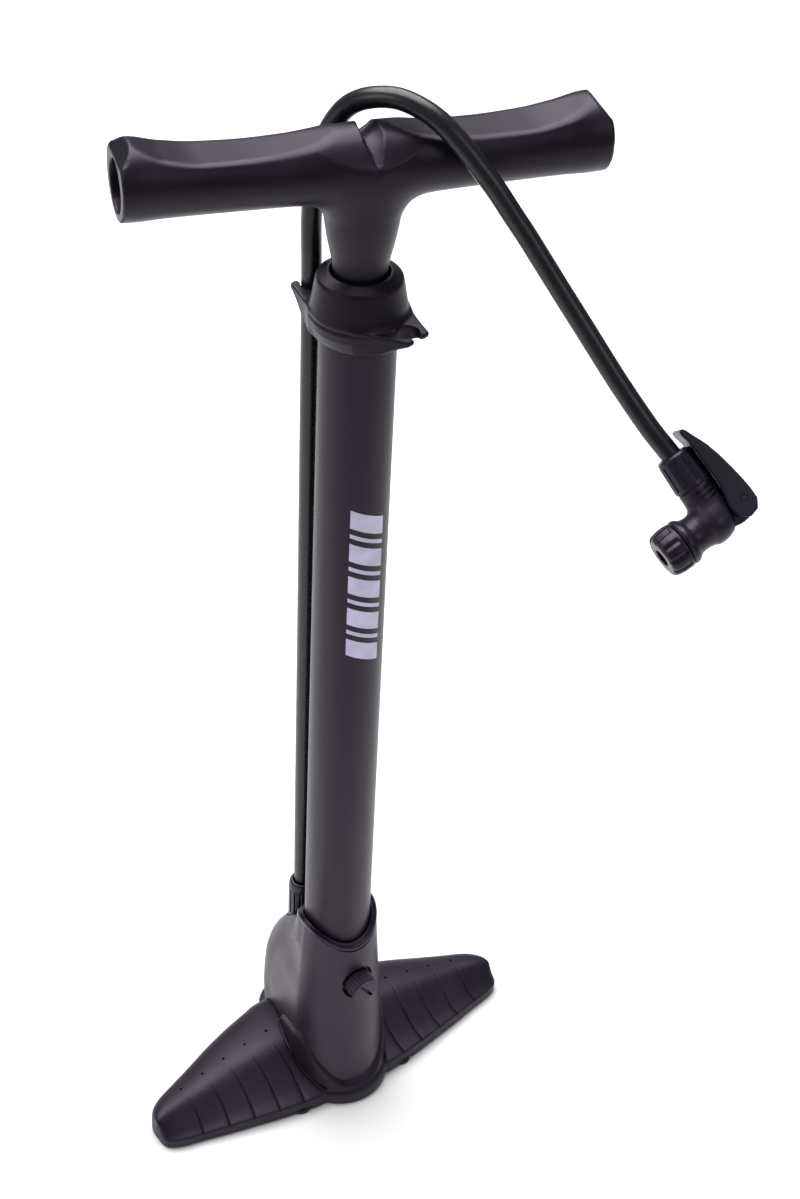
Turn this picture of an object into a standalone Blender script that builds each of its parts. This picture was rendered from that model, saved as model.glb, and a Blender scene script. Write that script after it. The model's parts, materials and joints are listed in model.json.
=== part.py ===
"""Floor pump with a T-handle, a two-winged foot and a hose with a lever head.

The frame: metres, +Z up, the origin on the floor under the barrel's axis.
The wings of the foot lie along X, the front of the pump faces -Y and the hose
leaves at the back (+Y). The barrel's axis is the Z axis.
"""
import math

import bmesh
import bpy
from mathutils import Matrix, Vector

# ---- driving dimensions -------------------------------------------------------
MM = 0.001
GAP = 0.3 * MM                  # air left between two solids that touch

BARREL_R = 19.0 * MM
BARREL_WALL = 1.6 * MM
BARREL_BOTTOM = 107.5 * MM
BARREL_TOP = 547.0 * MM

WING_LIFT = 1.0 * MM            # the wings' undersides stand this high on their pads
PLINTH_TOP = 11.0 * MM
PLINTH_R = 28.5 * MM
PLINTH_NOSE = -36.5 * MM
PLINTH_BACK = 67.5 * MM
PLINTH_BACK_R = 21.0 * MM
POCKET_FLOOR = 6.0 * MM
# wing stations: distance from the axis, front edge y, back edge y, front height, crest height
WING = (
    (12.0, -28.0, 50.0, 10.2, 28.4),
    (27.0, -27.5, 49.5, 10.0, 28.0),
    (36.0, -26.4, 47.0, 9.6, 27.5),
    (52.0, -23.6, 42.5, 9.2, 26.0),
    (68.0, -20.2, 37.0, 8.6, 24.0),
    (83.0, -17.0, 31.0, 8.1, 21.8),
    (99.0, -13.2, 24.8, 7.4, 19.6),
    (110.0, -10.6, 19.6, 7.2, 18.2),
    (117.0, -7.0, 13.6, 7.0, 17.2),
    (120.8, -1.0, 6.0, 7.0, 16.0),
)
CREST_Y = 9.0 * MM              # where the tread stops rising

# tower levels: height, half width, front y, back y, radius of the narrower back
TOWER = (
    (6.3, 29.0, -30.5, 62.0, 17.8),
    (30.0, 28.3, -29.4, 64.5, 17.8),
    (57.0, 27.2, -27.8, 62.0, 18.0),
    (75.0, 26.2, -26.5, 56.5, 18.0),
    (90.0, 25.2, -25.4, 47.5, 18.0),
    (102.0, 24.6, -24.6, 36.0, 19.5),
    (112.0, 24.0, -24.0, 26.5, 23.0),
    (137.0, 22.4, -22.4, 22.4, 22.4),
)
SADDLE_LOW = 119.0 * MM         # the tower's mouth dips to this at front and back
SADDLE_RISE = 13.0 * MM         # and rises by this at the sides of the tower
TOWER_MOUTH_R = 23.0 * MM
BLOCK_BOTTOM = 70.0 * MM
BLOCK_TOP = 105.7 * MM
VALVE_SEAT = 101.0 * MM
CHAMBER_FLOOR = 82.0 * MM
PLUG_Z = 93.5 * MM              # height of the front plug's axis
OUTLET_Z = 86.0 * MM
GLAND_Y = 38.0 * MM
GLAND_BOTTOM = 97.0 * MM
GLAND_TOP = 125.0 * MM

CAP_TURN = math.radians(14.5)   # the cap is screwed on with its ears this far round
CAP_BOTTOM = 526.0 * MM
CAP_HOLE_R = 14.3 * MM
EAR_HOLE_AT = 30.8 * MM
EAR_HOLE_R = 5.6 * MM
EAR_TOP = 540.0 * MM
# ear stations: distance from the axis, half width, underside height
EAR = ((14.0, 21.0, 527.5), (24.0, 15.0, 529.5), (31.0, 10.6, 533.4), (38.6, 7.4, 537.2))

ROD_R = 5.0 * MM
HANDLE_TURN = math.radians(-17.0)
HANDLE_Z = 616.8 * MM
# grip stations: distance from the hub's centre, section radius, flat's height in it, rise of its centre
GRIP = (
    (0.0, 17.9, 17.9, -0.3),
    (14.0, 17.9, 17.7, -0.5),
    (24.0, 17.4, 15.0, -0.8),
    (36.0, 16.8, 13.2, -0.7),
    (55.0, 16.6, 11.9, -0.4),
    (76.0, 17.0, 11.5, 0.5),
    (93.0, 17.7, 13.6, 1.5),
    (107.0, 18.5, 17.7, 2.5),
    (114.0, 17.9, 11.4, 2.6),
)
STEM_BOTTOM = 556.0 * MM

PISTON_R = 16.7 * MM
PISTON_BOTTOM = 120.3 * MM
PISTON_TOP = 138.0 * MM

HOSE_R = 5.0 * MM
HOSE_SPLIT = 572.0 * MM         # the hose is two solids that meet at this height
HOSE_STEP = 20.0 * MM           # distance between the tube's points
# the hose's route, from inside the gland to inside the head's collar
HOSE_ROUTE = (
    (0.0, 38.0, 97.3), (0.0, 38.0, 128.0), (-0.6, 37.6, 170.0), (-1.9, 36.2, 240.0),
    (-3.3, 34.6, 320.0), (-4.8, 33.0, 400.0), (-6.3, 31.3, 470.0), (-7.5, 30.0, 528.0),
    (-7.9, 29.8, 550.0), (-7.4, 31.4, 575.0), (-5.6, 32.0, 597.0), (-2.8, 30.0, 612.5),
    (0.1, 25.6, 624.4), (2.8, 20.0, 633.2), (5.6, 13.4, 639.0), (8.9, 6.9, 642.4), (12.4, 1.0, 644.2),
    (15.8, -4.3, 644.6),
    (19.5, -10.2, 643.4), (23.3, -16.6, 641.0), (27.4, -23.4, 636.6), (32.1, -30.6, 629.4),
    (37.0, -37.9, 620.6), (41.9, -45.0, 611.3), (46.7, -51.4, 601.1), (51.5, -58.3, 590.8),
    (60.2, -72.0, 570.3), (68.3, -87.0, 550.3), (76.0, -102.8, 530.5), (83.6, -119.5, 512.2),
    (88.4, -131.3, 502.1), (92.6, -142.8, 491.4),
)

HEAD_AT = Vector((97.8, -156.9, 478.1)) * MM     # where the hose's and the chuck's axes cross
HEAD_UP = Vector((-0.259, 0.7055, 0.6598))       # along the collar, towards the hose
HEAD_OUT = Vector((-0.9012, 0.0695, -0.4278))    # along the chuck, out of its mouth
LEVER_X = -15.2 * MM                             # the lever's pin in the head's own frame
LEVER_Z = 1.2 * MM


# ---- helpers --------------------------------------------------------------------
def wipe_scene():
    for thing in list(bpy.data.objects):
        bpy.data.objects.remove(thing, do_unlink=True)


def material(name, colour, roughness, metallic=0.0):
    mat = bpy.data.materials.new(name)
    mat.use_nodes = True
    shader = mat.node_tree.nodes["Principled BSDF"]
    shader.inputs["Base Color"].default_value = (*colour, 1.0)
    shader.inputs["Roughness"].default_value = roughness
    shader.inputs["Metallic"].default_value = metallic
    return mat


def finish_object(name, bm, mat, place=None, cutter=False):
    bmesh.ops.remove_doubles(bm, verts=bm.verts, dist=1e-7)
    bmesh.ops.recalc_face_normals(bm, faces=bm.faces)
    mesh = bpy.data.meshes.new(name)
    bm.to_mesh(mesh)
    bm.free()
    thing = bpy.data.objects.new(name, mesh)
    bpy.context.scene.collection.objects.link(thing)
    if mat is not None:
        mesh.materials.append(mat)
    if place is not None:
        thing.matrix_basis = place
    if cutter:
        thing.hide_render = True
        thing.display_type = "WIRE"
    else:
        mesh.shade_smooth()
        mesh.set_sharp_from_angle(angle=math.radians(35))
    return thing


def join_rings(bm, rings, closed_loop):
    """Skin a list of vertex rings; a ring of one vertex is a pole."""
    pairs = list(zip(rings, rings[1:]))
    if closed_loop:
        pairs.append((rings[-1], rings[0]))
    for low, high in pairs:
        count = max(len(low), len(high))
        if count == 1:
            continue
        for i in range(count):
            j = (i + 1) % count
            corners = [low[i % len(low)], low[j % len(low)], high[j % len(high)], high[i % len(high)]]
            unique = list(dict.fromkeys(corners))
            if len(unique) > 2:
                bm.faces.new(unique)


def revolve(name, profile, mat, steps=32, place=None, cutter=False):
    """Turn a closed profile of (radius, height) pairs in millimetres about Z."""
    bm = bmesh.new()
    rings = []
    for radius, height in profile:
        if radius == 0:
            rings.append([bm.verts.new((0.0, 0.0, height * MM))])
            continue
        ring = []
        for i in range(steps):
            angle = 2 * math.pi * i / steps
            ring.append(bm.verts.new((radius * MM * math.cos(angle),
                                      radius * MM * math.sin(angle), height * MM)))
        rings.append(ring)
    join_rings(bm, rings, closed_loop=True)
    return finish_object(name, bm, mat, place, cutter)


def tube(name, inner, outer, low, high, mat, **options):
    """A plain ring, sizes in millimetres."""
    return revolve(name, [(outer, high), (outer, low), (inner, low), (inner, high)], mat, **options)


def rod(name, radius, low, high, mat, **options):
    """A plain cylinder, sizes in millimetres."""
    return revolve(name, [(0, high), (radius, high), (radius, low), (0, low)], mat, **options)


def loft(name, rings, mat, place=None, cutter=False):
    """Skin closed outlines of equal length (metres) and close both ends."""
    bm = bmesh.new()
    loops = [[bm.verts.new(point) for point in ring] for ring in rings]
    join_rings(bm, loops, closed_loop=False)
    bmesh.ops.triangulate(bm, faces=bm.faces)       # twisted sides would spoil a Boolean
    bm.faces.new(loops[0])
    bm.faces.new(loops[-1])
    return finish_object(name, bm, mat, place, cutter)


def boolean(target, tools, operation):
    for tool in tools:
        modifier = target.modifiers.new(operation.lower(), "BOOLEAN")
        modifier.operation = operation
        modifier.object = tool
        modifier.solver = "EXACT"


def cut(target, *tools):
    boolean(target, tools, "DIFFERENCE")


def add(target, *tools):
    boolean(target, tools, "UNION")


def lay_along(direction, at):
    """A placement that turns +Z to the direction and moves the origin to the point."""
    turn = Vector((0, 0, 1)).rotation_difference(Vector(direction)).to_matrix().to_4x4()
    return Matrix.Translation(Vector(at)) @ turn


def teardrop(half_width, front, back, back_radius, height, steps=9):
    """An outline round at the front and narrower at the back, as points at one height."""
    points = []
    for i in range(steps + 1):
        angle = math.pi + math.pi * i / steps
        points.append((half_width * math.cos(angle), front + half_width * (1 + math.sin(angle)), height))
    for i in range(steps + 1):
        angle = math.pi * i / steps
        points.append((back_radius * math.cos(angle), back - back_radius * (1 - math.sin(angle)), height))
    return points


def saddle_height(x):
    return SADDLE_LOW + SADDLE_RISE * (x / TOWER_MOUTH_R) ** 2


# ---- foot and tower ----------------------------------------------------------------
def wing(name, side, mat, cutter):
    rings = []
    for reach, front, back, front_height, crest in WING:
        x = side * reach * MM
        front_y = front * MM
        back_y = back * MM
        crest_y = min(CREST_Y, 0.5 * (front_y + back_y))
        low = front_height * MM
        high = crest * MM
        rings.append([
            (x, front_y, WING_LIFT),
            (x, front_y + 0.6 * MM, low),
            (x, 0.62 * front_y + 0.38 * crest_y, low + 0.30 * (high - low)),
            (x, 0.25 * front_y + 0.75 * crest_y, low + 0.76 * (high - low)),
            (x, crest_y, high),
            (x, back_y - 3.0 * MM, high - 1.2 * MM),
            (x, back_y - 0.6 * MM, high - 4.0 * MM),
            (x, back_y, WING_LIFT),
        ])
    return loft(name, rings, mat, cutter=cutter)


def make_foot(mats):
    foot = wing("base_foot", 1, mats["foot"], cutter=False)
    other_wing = wing("cut_other_wing", -1, None, cutter=True)
    plinth = loft("cut_plinth", [
        teardrop(PLINTH_R, PLINTH_NOSE, PLINTH_BACK, PLINTH_BACK_R, 0.0),
        teardrop(PLINTH_R + 4.5 * MM, PLINTH_NOSE, PLINTH_BACK, PLINTH_BACK_R, PLINTH_TOP - 2.5 * MM),
        teardrop(PLINTH_R + 3.0 * MM, PLINTH_NOSE + 1.5 * MM, PLINTH_BACK - 1.5 * MM,
                 PLINTH_BACK_R - 1.5 * MM, PLINTH_TOP),
    ], None, cutter=True)
    pocket = loft("cut_pocket", [
        teardrop(29.4 * MM, -30.9 * MM, 65.1 * MM, 18.4 * MM, POCKET_FLOOR),
        teardrop(29.4 * MM, -30.9 * MM, 65.1 * MM, 18.4 * MM, 40 * MM),
    ], None, cutter=True)
    add(foot, plinth, other_wing)
    cut(foot, pocket)
    for index, (x, y) in enumerate(pad_places()):
        recess = rod("cut_pad_%d" % index, 7.3, -1.0, 3.0, None, steps=20, cutter=True,
                     place=Matrix.Translation((x, y, 0)))
        revolve("foot_pad_%d" % (index + 1), [(0, 2.6), (6.9, 2.6), (6.9, 0.5), (6.3, 0.0), (0, 0.0)],
                mats["rubber"], steps=16, place=Matrix.Translation((x, y, 0)))
        cut(foot, recess)
    for index, (x, y) in enumerate(screw_places()):
        place = Matrix.Translation((x, y, 0))
        hole = revolve("cut_screw_hole_%d" % index,
                       [(0, 8.0), (2.5, 8.0), (2.5, 4.6), (4.2, 4.6), (4.2, -1.0), (0, -1.0)],
                       None, steps=12, place=place, cutter=True)
        revolve("base_screw_%d" % (index + 1),
                [(0, 17.0), (1.9, 16.0), (1.9, 4.2), (3.8, 4.2), (3.8, 2.0), (0, 2.0)],
                mats["steel"], steps=12, place=place)
        cut(foot, hole)


def pad_places():
    """Two pads by the nose, which show a little at the wings' front edge, and two near the tips."""
    return [(side * x * MM, y * MM) for side in (-1, 1) for x, y in ((36.0, -20.6), (102.0, 4.0))]


def screw_places():
    return [(0.0, -24.0 * MM), (-15.8 * MM, 27.0 * MM), (15.8 * MM, 27.0 * MM)]


def make_tower(mats):
    rings = [teardrop(w * MM, front * MM, back * MM, back_r * MM, z * MM)
             for z, w, front, back, back_r in TOWER]
    tower = loft("tower_housing", rings, mats["tower"])
    wide = 60 * MM
    mouth = []
    for i in range(17):
        x = wide * 0.6 * (i / 8.0 - 1.0)
        mouth.append((x, saddle_height(x)))
    mouth += [(wide * 0.6, 200 * MM), (-wide * 0.6, 200 * MM)]
    saddle = loft("cut_saddle", [[(x, y, z) for x, z in mouth] for y in (-wide, wide)], None, cutter=True)
    bore = rod("cut_tower_bore", 19.4, 69.7, 160.0, None, steps=40, cutter=True)
    core = rod("cut_tower_core", 17.5, 0.0, 66.0, None, steps=24, cutter=True)
    back_core = rod("cut_back_core", 13.0, 0.0, 72.0, None, steps=24, cutter=True,
                    place=Matrix.Translation((0, GLAND_Y - 2 * MM, 0)))
    gland_hole = rod("cut_gland_hole", 8.8, 77.5, 150.0, None, steps=24, cutter=True,
                     place=Matrix.Translation((0, GLAND_Y, 0)))
    duct = rod("cut_duct", 7.3, 15.0, 38.0, None, steps=20, cutter=True,
               place=lay_along((0, 1, 0), (0, 0, OUTLET_Z)))
    plug_hole = revolve("cut_plug_hole", [
        (0, 40.0), (9.4, 40.0), (9.4, 24.3), (5.6, 24.3), (5.6, 10.0), (0, 10.0),
    ], None, steps=20, cutter=True, place=lay_along((0, -1, 0), (0, 0, PLUG_Z)))
    cut(tower, saddle, bore, core, back_core, gland_hole, duct, plug_hole)
    for index, (x, y) in enumerate(screw_places()):
        cut(tower, rod("cut_boss_%d" % index, 2.2, 0.0, 18.0, None, steps=12, cutter=True,
                       place=Matrix.Translation((x, y, 0))))

    bm = bmesh.new()
    steps = 40
    rings = []
    for radius, lift in ((22.0, 0.3), (22.8, 1.6), (22.2, 3.2), (20.6, 4.2), (19.5, 4.6), (19.5, 0.3)):
        ring = []
        for i in range(steps):
            angle = 2 * math.pi * i / steps
            x = radius * MM * math.cos(angle)
            ring.append(bm.verts.new((x, radius * MM * math.sin(angle), saddle_height(x) + lift * MM)))
        rings.append(ring)
    join_rings(bm, rings, closed_loop=True)
    finish_object("collar_trim", bm, mats["trim"])


def make_valve(mats):
    block = rod("valve_block", 18.9, BLOCK_BOTTOM / MM, BLOCK_TOP / MM, mats["foot"], steps=32)
    seat_hole = rod("cut_seat_hole", 3.5, 95.0, 110.0, None, steps=16, cutter=True)
    chamber = rod("cut_chamber", 6.0, CHAMBER_FLOOR / MM, VALVE_SEAT / MM, None, steps=20, cutter=True)
    plug_bore = rod("cut_plug_bore", 5.3, 2.0, 25.0, None, steps=20, cutter=True,
                    place=lay_along((0, -1, 0), (0, 0, PLUG_Z)))
    outlet = rod("cut_outlet", 2.5, 0.0, 25.0, None, steps=16, cutter=True,
                 place=lay_along((0, 1, 0), (0, 0, OUTLET_Z)))
    cut(block, seat_hole, chamber, plug_bore, outlet)

    rod("check_valve_disc", 5.3, 98.6, 100.6, mats["rubber"], steps=20)
    make_spring("check_valve_spring", 4.3, 0.4, CHAMBER_FLOOR + GAP, 98.3 * MM, 6, mats["steel"])

    face = lay_along((0, -1, 0), (0, 0, PLUG_Z))
    plug = revolve("valve_plug", [
        (0, 33.0), (7.4, 33.0), (8.5, 32.2), (8.5, 26.0), (8.0, 25.4), (4.9, 25.4), (4.9, 8.5), (0, 8.5),
    ], mats["knob"], steps=24, place=face)
    slot = loft("cut_plug_slot", [
        [(-0.8 * MM, -7.2 * MM, z), (0.8 * MM, -7.2 * MM, z), (0.8 * MM, 7.2 * MM, z),
         (-0.8 * MM, 7.2 * MM, z)] for z in (31.4 * MM, 36.0 * MM)
    ], None, place=face @ Matrix.Rotation(math.radians(35), 4, "Z"), cutter=True)
    cut(plug, slot)
    tube("valve_plug_seal", 5.2, 7.4, 24.6, 25.1, mats["rubber"], steps=20, place=face)

    tube("barrel_gasket", 12.0, 18.9, 106.0, 107.2, mats["rubber"], steps=24)

    elbow = rod("outlet_elbow", 6.9, 19.4, 33.0, mats["trim"], steps=20,
                place=lay_along((0, 1, 0), (0, 0, OUTLET_Z)))
    riser_at = Matrix.Translation((0, GLAND_Y, 0))
    riser = rod("cut_riser", 8.2, 78.5, GLAND_BOTTOM / MM - 0.5, None, steps=24, cutter=True, place=riser_at)
    flow_in = rod("cut_flow_in", 2.5, 10.0, 39.3, None, steps=14, cutter=True,
                  place=lay_along((0, 1, 0), (0, 0, OUTLET_Z)))
    flow_up = rod("cut_flow_up", 2.9, 84.3, 120.0, None, steps=15, cutter=True, place=riser_at)
    add(elbow, riser)
    cut(elbow, flow_in, flow_up)

    revolve("gland_nut", [
        (8.0, GLAND_TOP / MM - 1.5), (8.0, GLAND_BOTTOM / MM), (5.5, GLAND_BOTTOM / MM),
        (5.5, GLAND_TOP / MM), (6.9, GLAND_TOP / MM),
    ], mats["trim"], steps=24, place=riser_at)


def make_spring(name, radius, wire, low, high, turns, mat):
    """A coil of round wire, radii in millimetres, heights in metres."""
    bm = bmesh.new()
    per_turn = 10
    sides = 5
    rings = []
    count = turns * per_turn
    rise = (high - low - 2 * wire * MM) / count
    for i in range(count + 1):
        angle = 2 * math.pi * i / per_turn
        out = Vector((math.cos(angle), math.sin(angle), 0))
        centre = out * radius * MM + Vector((0, 0, low + wire * MM + rise * i))
        ring = []
        for k in range(sides):
            turn = 2 * math.pi * k / sides
            across = out * math.cos(turn) + Vector((0, 0, math.sin(turn)))
            ring.append(bm.verts.new(centre + across * wire * MM))
        rings.append(ring)
    join_rings(bm, rings, closed_loop=False)
    bm.faces.new(rings[0])
    bm.faces.new(rings[-1])
    finish_object(name, bm, mat)


# ---- barrel and cap -------------------------------------------------------------------
def make_barrel(mats):
    tube("barrel_tube", (BARREL_R - BARREL_WALL) / MM, BARREL_R / MM, BARREL_BOTTOM / MM, BARREL_TOP / MM,
         mats["barrel"], steps=40)


def ear(name, side):
    """A wedge that stands out of the cap along side * Y, with a flat top."""
    rings = []
    for reach, half, low in EAR:
        y = side * reach * MM
        rings.append([(-half * MM, y, low * MM), (half * MM, y, low * MM),
                      (half * MM, y, EAR_TOP), (-half * MM, y, EAR_TOP)])
    return loft(name, rings, None, place=Matrix.Rotation(CAP_TURN, 4, "Z"), cutter=True)


def make_cap(mats):
    cap = revolve("top_cap", [
        (CAP_HOLE_R / MM, 560.0), (15.6, 560.2), (20.3, 557.2), (23.8, 539.0), (24.0, 536.5),
        (23.4, 532.5), (21.6, 528.4), (20.0, CAP_BOTTOM / MM), (19.4, CAP_BOTTOM / MM), (19.4, 550.2),
        (CAP_HOLE_R / MM, 550.2),
    ], mats["cap"], steps=32)
    add(cap, ear("cut_ear_front", -1), ear("cut_ear_back", 1))
    inside = rod("cut_cap_inside", 19.4, 500.0, 550.2, None, steps=32, cutter=True)
    cut(cap, inside)
    turn = Matrix.Rotation(CAP_TURN, 4, "Z")
    for side in (-1, 1):
        at = turn @ Matrix.Translation((0, side * EAR_HOLE_AT, 0))
        hole = rod("cut_ear_hole_%d" % side, EAR_HOLE_R / MM, 500.0, 600.0, None, steps=20,
                   cutter=True, place=at)
        mouth = loft("cut_ear_mouth_%d" % side, [
            [(-2.6 * MM, side * EAR_HOLE_AT, z), (2.6 * MM, side * EAR_HOLE_AT, z),
             (4.4 * MM, side * 45 * MM, z), (-4.4 * MM, side * 45 * MM, z)] for z in (500 * MM, 600 * MM)
        ], None, place=turn, cutter=True)
        cut(cap, hole, mouth)

    revolve("rod_guide", [
        (18.8, 549.8), (18.8, 547.3), (17.1, 547.3), (17.1, 537.0), (5.4, 537.0), (5.4, 549.8),
    ], mats["foot"], steps=28)
    tube("rod_wiper", 5.4, 9.0, 550.5, 552.6, mats["rubber"], steps=20)
    tube("top_buffer", 5.4, 16.4, 531.5, 536.6, mats["rubber"], steps=24)


# ---- plunger ----------------------------------------------------------------------------
def make_piston(mats):
    revolve("piston_body", [
        (PISTON_R / MM, PISTON_TOP / MM), (PISTON_R / MM, 133.0), (14.6, 131.5), (14.6, 126.5),
        (PISTON_R / MM, 125.0), (PISTON_R / MM, PISTON_BOTTOM / MM), (5.4, PISTON_BOTTOM / MM),
        (5.4, PISTON_TOP / MM),
    ], mats["foot"], steps=28)
    revolve("piston_cup", [
        (17.0, 120.0), (17.0, 113.0), (15.4, 113.0), (14.6, 117.6), (5.4, 117.6), (5.4, 120.0),
    ], mats["rubber"], steps=28)
    tube("piston_washer", 5.4, 13.0, 115.7, 117.3, mats["steel"], steps=24)
    nut = rod("piston_nut", 9.2, 110.0, 115.4, mats["steel"], steps=6)
    cut(nut, rod("cut_nut_bore", 5.4, 100.0, 120.0, None, steps=20, cutter=True))


def make_plunger(mats):
    rod("piston_rod", ROD_R / MM, 108.6, 611.5, mats["chrome"], steps=24)
    turn = Matrix.Rotation(HANDLE_TURN, 4, "Z")
    handle = loft("handle", [
        grip_section(-reach, *shape) for reach, *shape in reversed(GRIP[1:])
    ] + [grip_section(reach, *shape) for reach, *shape in GRIP], mats["handle"], place=turn)
    stem = revolve("cut_stem", [
        (0, 617.0), (17.2, 617.0), (18.6, 597.0), (18.0, 590.0), (16.6, 580.0), (13.6, 565.0), (12.7, 557.5),
        (11.6, STEM_BOTTOM / MM), (0, STEM_BOTTOM / MM),
    ], None, steps=28, cutter=True, place=turn)
    add(handle, stem)
    for side in (-1, 1):
        mouth_at = turn @ lay_along((side, 0, 0), (0, 0, HANDLE_Z))
        cut(handle, revolve("cut_grip_bore_%d" % side, [
            (0, 116.0), (12.3, 116.0), (12.0, 112.0), (7.4, 60.0), (0, 60.0),
        ], None, steps=20, cutter=True, place=mouth_at))
    notch = loft("cut_hub_notch", [
        [(-6.5 * MM, 30 * MM, 650 * MM), (6.0 * MM, 30 * MM, 650 * MM), (0.8 * MM, 30 * MM, 622 * MM),
         (-0.8 * MM, 30 * MM, 622 * MM)],
        [(-1.6 * MM, -22 * MM, 650 * MM), (1.6 * MM, -22 * MM, 650 * MM), (0.5 * MM, -22 * MM, 629 * MM),
         (-0.5 * MM, -22 * MM, 629 * MM)],
    ], None, place=turn, cutter=True)
    rod_bore = revolve("cut_rod_bore", [
        (0, 612.0), (8.4, 612.0), (8.4, 592.0), (5.4, 592.0), (5.4, 540.0), (0, 540.0),
    ], None, steps=20, cutter=True)
    cut(handle, notch, rod_bore)
    tube("rod_insert", 5.4, 8.0, 592.4, 611.6, mats["brass"], steps=20)


def grip_section(reach, radius, flat, rise):
    """One cross-section of the grip: a circle cut flat at the top."""
    points = []
    steps = 20
    for i in range(steps):
        angle = 2 * math.pi * (i + 0.5) / steps
        points.append((reach * MM, radius * MM * math.cos(angle),
                       HANDLE_Z + (rise + min(radius * math.sin(angle), flat)) * MM))
    return points


# ---- hose and head ------------------------------------------------------------------------
def smooth_route(points, step):
    """Points a fixed step apart on a Catmull-Rom curve through the given points."""
    knots = [Vector(p) * MM for p in points]
    knots = [2 * knots[0] - knots[1]] + knots + [2 * knots[-1] - knots[-2]]
    fine = []
    for a, b, c, d in zip(knots, knots[1:], knots[2:], knots[3:]):
        for k in range(24):
            t = k / 24
            fine.append(0.5 * (2 * b + (c - a) * t + (2 * a - 5 * b + 4 * c - d) * t * t
                               + (3 * b - a - 3 * c + d) * t ** 3))
    fine.append(knots[-2])
    length = sum((q - p).length for p, q in zip(fine, fine[1:]))
    count = max(2, round(length / step))
    even = [fine[0]]
    walked = 0.0
    for p, q in zip(fine, fine[1:]):
        walked += (q - p).length
        if walked >= length * len(even) / count and len(even) < count:
            even.append(q)
    even.append(fine[-1])
    return even


def hose_tube(name, points, mat):
    curve = bpy.data.curves.new(name, "CURVE")
    curve.dimensions = "3D"
    curve.bevel_depth = HOSE_R
    curve.bevel_resolution = 2
    curve.use_fill_caps = True
    line = curve.splines.new("POLY")
    line.points.add(len(points) - 1)
    for place, point in zip(line.points, points):
        place.co = (*point, 1.0)
    curve.materials.append(mat)
    thing = bpy.data.objects.new(name, curve)
    bpy.context.scene.collection.objects.link(thing)


def make_hose(mats):
    """Two tubes that meet behind the handle: one stays with the pump, one goes up with the handle."""
    split = next(i for i, point in enumerate(HOSE_ROUTE) if point[2] > HOSE_SPLIT / MM)
    below = Vector(HOSE_ROUTE[split - 1])
    above = Vector(HOSE_ROUTE[split])
    meeting = below.lerp(above, (HOSE_SPLIT / MM - below.z) / (above.z - below.z))
    lower_end = (meeting.x, meeting.y, (HOSE_SPLIT - GAP) / MM)
    hose_tube("hose_lower", smooth_route(HOSE_ROUTE[:split] + (lower_end,), 1.3 * HOSE_STEP), mats["hose"])
    hose_tube("hose_upper", smooth_route((tuple(meeting),) + HOSE_ROUTE[split:], HOSE_STEP), mats["hose"])


def head_frame():
    """Local X out of the chuck, local Z up the collar, origin where the axes cross."""
    up = HEAD_UP.normalized()
    out = (HEAD_OUT - HEAD_OUT.dot(up) * up).normalized()
    side = up.cross(out)
    turn = Matrix((out, side, up)).transposed().to_4x4()
    return Matrix.Translation(HEAD_AT) @ turn


def make_head(mats):
    at = head_frame()
    chuck_at = at @ lay_along((1, 0, 0), (0, 0, 0))

    body = revolve("head_body", [
        (0, 26.0), (8.4, 26.0), (8.4, 20.2), (11.2, 20.2), (11.7, 18.6), (11.2, 17.0), (9.3, 13.2),
        (9.1, 10.6), (9.8, 7.4), (11.6, 5.2), (12.0, 2.6), (11.4, -1.0), (9.6, -4.4), (0, -4.4),
    ], mats["head"], steps=24, place=chuck_at)
    throat = revolve("cut_throat", [(0, 18.2), (8.2, 18.2), (8.4, 6.0), (6.0, -4.0), (0, -4.0)], None,
                     steps=20, cutter=True, place=at)
    lug = loft("cut_lug", [
        [(-21.0 * MM, y, -4.0 * MM), (-18.0 * MM, y, -6.5 * MM), (0.0, y, -8.0 * MM), (0.0, y, 8.0 * MM),
         (-18.0 * MM, y, 6.0 * MM), (-21.0 * MM, y, 4.0 * MM)] for y in (-4.2 * MM, 4.2 * MM)
    ], None, place=at, cutter=True)
    add(body, throat, lug)
    pin_at = at @ Matrix.Translation((LEVER_X, 0, LEVER_Z)) @ lay_along((0, 1, 0), (0, 0, 0))
    pin_hole = rod("cut_pin_hole", 1.9, -20.0, 20.0, None, steps=12, cutter=True, place=pin_at)
    chamber = rod("cut_chuck_chamber", 6.9, 2.0, 30.0, None, steps=20, cutter=True, place=chuck_at)
    push_hole = rod("cut_push_hole", 2.7, -12.0, 10.0, None, steps=12, cutter=True, place=chuck_at)
    hose_hole = rod("cut_hose_hole", 2.4, 0.0, 30.0, None, steps=12, cutter=True, place=at)
    cut(body, pin_hole, chamber, push_hole, hose_hole)

    revolve("head_collar", [
        (8.1, 18.6), (5.4, 18.6), (5.4, 36.2), (6.6, 36.2), (7.4, 35.2),
    ], mats["head"], steps=24, place=at)
    rod("push_pin", 2.2, -11.0, 3.4, mats["steel"], steps=12, place=chuck_at)
    tube("chuck_sleeve", 3.2, 6.5, 4.0, 9.0, mats["brass"], steps=20, place=chuck_at)
    tube("chuck_grommet", 3.7, 6.6, 11.0, 25.6, mats["rubber"], steps=20, place=chuck_at)
    revolve("chuck_cap", [
        (4.2, 31.4), (9.6, 31.4), (10.8, 30.0), (11.6, 26.0), (11.6, 20.7), (8.8, 20.7), (8.8, 26.4),
        (4.2, 26.4),
    ], mats["head"], steps=24, place=chuck_at)
    rod("lever_pin", 1.6, -7.3, 7.3, mats["steel"], steps=12, place=pin_at)
    make_lever(mats, at, pin_at)


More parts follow.
